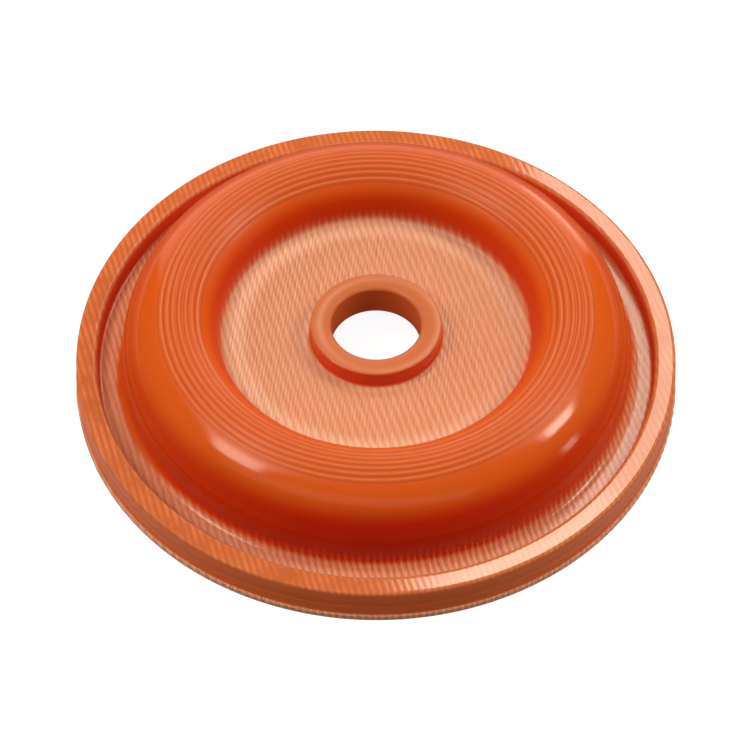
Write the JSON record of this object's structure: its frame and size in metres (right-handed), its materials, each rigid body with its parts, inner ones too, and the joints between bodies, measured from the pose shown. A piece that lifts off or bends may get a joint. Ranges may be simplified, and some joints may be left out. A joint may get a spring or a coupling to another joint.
{
  "type": "exhaust valve diaphragm",
  "caption": "Round moulded rubber diaphragm: clamped rim, ribbed rolling convolution, dished disc with a boss and a central bore for a valve stem.",
  "frame": {"origin": "centre of the flat underside of the rim, on the bore axis", "axes": "+Z along the bore axis, from the flat underside towards the raised roll; X and Y are equal because the body is turned"},
  "size_m": [0.0826, 0.0826, 0.0139],
  "materials": {
    "silicone_rubber": "smooth moulded silicone rubber with a woven fabric imprint on the disc, groove and lip"
  },
  "bodies": {
    "root": {"diaphragm": "silicone_rubber"}
  },
  "joints": []
}
